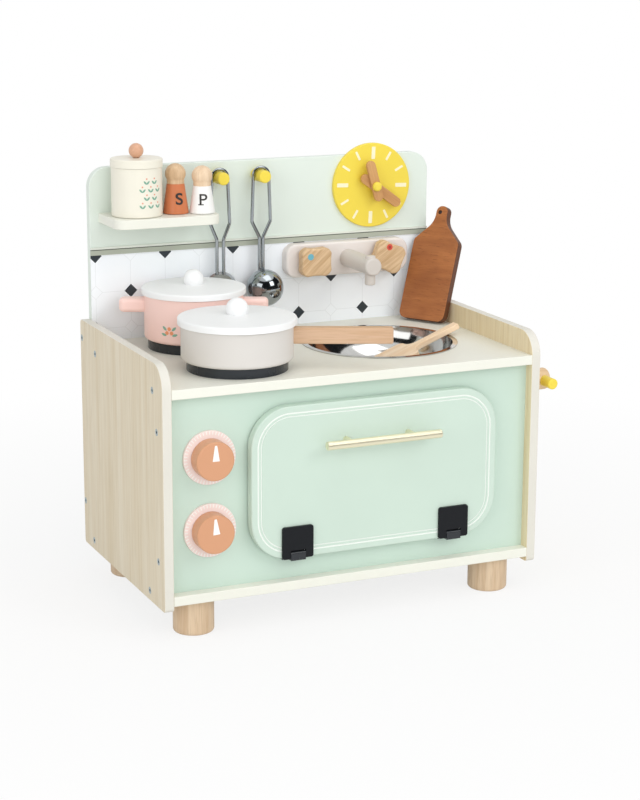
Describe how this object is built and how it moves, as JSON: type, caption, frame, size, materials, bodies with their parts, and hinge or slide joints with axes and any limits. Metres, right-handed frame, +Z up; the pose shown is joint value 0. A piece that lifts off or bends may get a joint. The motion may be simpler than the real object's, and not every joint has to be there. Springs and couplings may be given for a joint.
{
  "type": "toy oven",
  "caption": "Tabletop wooden toy kitchen: oven with drop-down door and turning knobs, hob with lidded pans, sink with turning taps, clock, shelf goods, hanging utensils and towel rail.",
  "frame": {"origin": "on the floor, under the middle of the whole toy's bounding box", "axes": "+X to the right seen from the front, +Y to the back, +Z up"},
  "size_m": [0.424, 0.2652, 0.4497],
  "materials": {
    "cream_paint": "satin",
    "mint_paint": "satin",
    "natural_wood": "matte",
    "brown_wood": "oiled",
    "yellow_paint": "satin",
    "pink_paint": "satin",
    "blush_paint": "satin",
    "peach_paint": "satin",
    "grey_paint": "satin",
    "white_paint": "satin",
    "orange_paint": "satin",
    "black_paint": "satin",
    "steel": "polished",
    "screw_steel": "zinc plated",
    "black_metal": "satin",
    "gold": "satin",
    "tile_print": "semi gloss",
    "trim_edge": "satin"
  },
  "bodies": {
    "cabinet": {"left_side_panel": "cream_paint", "right_side_panel": "cream_paint", "worktop": "cream_paint", "base_board": "cream_paint", "front_panel": "mint_paint", "back_board": "mint_paint", "tile_splashback": "tile_print", "splashback_trim": "trim_edge", "shelf": "cream_paint", "feet": "natural_wood", "cabinet_screws": "screw_steel", "sink_bowl": "steel", "front_hotplate": "black_paint", "rear_hotplate": "black_paint", "faucet_plate": "grey_paint", "faucet_spout": "grey_paint", "faucet_nozzle": "grey_paint", "clock_face": "yellow_paint", "clock_pin": "yellow_paint", "utensil_pegs": "yellow_paint", "frame_hinge_leaves": "black_metal", "knob_dials": "blush_paint", "towel_rail": "yellow_paint", "towel_rail_posts": "natural_wood"},
    "door": {"door_panel": "mint_paint", "door_handle_bar": "gold", "door_handle_posts": "gold", "door_hinge_leaves": "black_metal", "hinge_pins": "screw_steel"},
    "upper_knob": {"upper_knob": "peach_paint", "upper_knob_axle": "natural_wood"},
    "lower_knob": {"lower_knob": "peach_paint", "lower_knob_axle": "natural_wood"},
    "cold_tap": {"cold_tap": "natural_wood", "cold_tap_axle": "natural_wood"},
    "hot_tap": {"hot_tap": "natural_wood", "hot_tap_axle": "natural_wood"},
    "hour_hand": {"hour_hand": "natural_wood"},
    "minute_hand": {"minute_hand": "natural_wood"},
    "skimmer": {"skimmer_handle": "steel", "skimmer_blade": "steel"},
    "ladle": {"ladle_handle": "steel", "ladle_bowl": "steel"},
    "canister": {"canister": "cream_paint"},
    "canister_lid": {"canister_lid": "cream_paint", "canister_lid_knob": "peach_paint"},
    "salt_shaker": {"salt_body": "orange_paint", "salt_head": "natural_wood"},
    "pepper_shaker": {"pepper_body": "white_paint", "pepper_head": "natural_wood"},
    "stewpot": {"stewpot": "pink_paint", "stewpot_handles": "pink_paint"},
    "stewpot_lid": {"stewpot_lid": "white_paint", "stewpot_lid_knob": "white_paint"},
    "saucepan": {"saucepan": "grey_paint", "saucepan_handle": "natural_wood"},
    "saucepan_lid": {"saucepan_lid": "white_paint", "saucepan_lid_knob": "white_paint"},
    "spatula": {"spatula": "natural_wood"},
    "cutting_board": {"cutting_board": "brown_wood"}
  },
  "joints": [
    {"name": "door_hinge", "type": "hinge", "parent": "cabinet", "child": "door", "pos_m": [0.008, -0.11288, 0.0735], "axis": [1, 0, 0], "range_deg": [0, 90]},
    {"name": "upper_knob_turn", "type": "hinge", "parent": "cabinet", "child": "upper_knob", "pos_m": [-0.1622, -0.11868, 0.1755], "axis": [0, 1, 0], "continuous": true},
    {"name": "lower_knob_turn", "type": "hinge", "parent": "cabinet", "child": "lower_knob", "pos_m": [-0.1622, -0.11868, 0.1041], "axis": [0, 1, 0], "continuous": true},
    {"name": "cold_tap_turn", "type": "hinge", "parent": "cabinet", "child": "cold_tap", "pos_m": [0.0366, 0.10502, 0.3158], "axis": [0, 1, 0], "continuous": true},
    {"name": "hot_tap_turn", "type": "hinge", "parent": "cabinet", "child": "hot_tap", "pos_m": [0.1214, 0.10502, 0.3158], "axis": [0, 1, 0], "continuous": true},
    {"name": "hour_hand_turn", "type": "hinge", "parent": "cabinet", "child": "hour_hand", "pos_m": [0.1106, 0.10743, 0.3906], "axis": [0, 1, 0], "continuous": true},
    {"name": "minute_hand_turn", "type": "hinge", "parent": "cabinet", "child": "minute_hand", "pos_m": [0.1106, 0.11083, 0.3906], "axis": [0, 1, 0], "continuous": true},
    {"name": "skimmer_swing", "type": "hinge", "parent": "cabinet", "child": "skimmer", "pos_m": [-0.0665, 0.11063, 0.4083], "axis": [0, 1, 0], "range_deg": [-4, 4]},
    {"name": "ladle_swing", "type": "hinge", "parent": "cabinet", "child": "ladle", "pos_m": [-0.0207, 0.11063, 0.4083], "axis": [0, 1, 0], "range_deg": [-12, 4]},
    {"name": "canister_lift", "type": "slide", "parent": "cabinet", "child": "canister", "axis": [0, 0, 1], "range_m": [0, 0.08]},
    {"name": "canister_lid_lift", "type": "slide", "parent": "canister", "child": "canister_lid", "axis": [0, 0, 1], "range_m": [0, 0.04]},
    {"name": "salt_lift", "type": "slide", "parent": "cabinet", "child": "salt_shaker", "axis": [0, 0, 1], "range_m": [0, 0.06]},
    {"name": "pepper_lift", "type": "slide", "parent": "cabinet", "child": "pepper_shaker", "axis": [0, 0, 1], "range_m": [0, 0.06]},
    {"name": "stewpot_lift", "type": "slide", "parent": "cabinet", "child": "stewpot", "axis": [0, 0, 1], "range_m": [0, 0.02]},
    {"name": "stewpot_lid_lift", "type": "slide", "parent": "stewpot", "child": "stewpot_lid", "axis": [0, 0, 1], "range_m": [0, 0.02]},
    {"name": "saucepan_lift", "type": "slide", "parent": "cabinet", "child": "saucepan", "axis": [0, 0, 1], "range_m": [0, 0.06]},
    {"name": "saucepan_lid_lift", "type": "slide", "parent": "saucepan", "child": "saucepan_lid", "axis": [0, 0, 1], "range_m": [0, 0.06]},
    {"name": "spatula_lift", "type": "slide", "parent": "cabinet", "child": "spatula", "axis": [0, 0, 1], "range_m": [0, 0.1]},
    {"name": "cutting_board_lift", "type": "slide", "parent": "cabinet", "child": "cutting_board", "axis": [0, -0.5, 0.866], "range_m": [0, 0.1]}
  ]
}
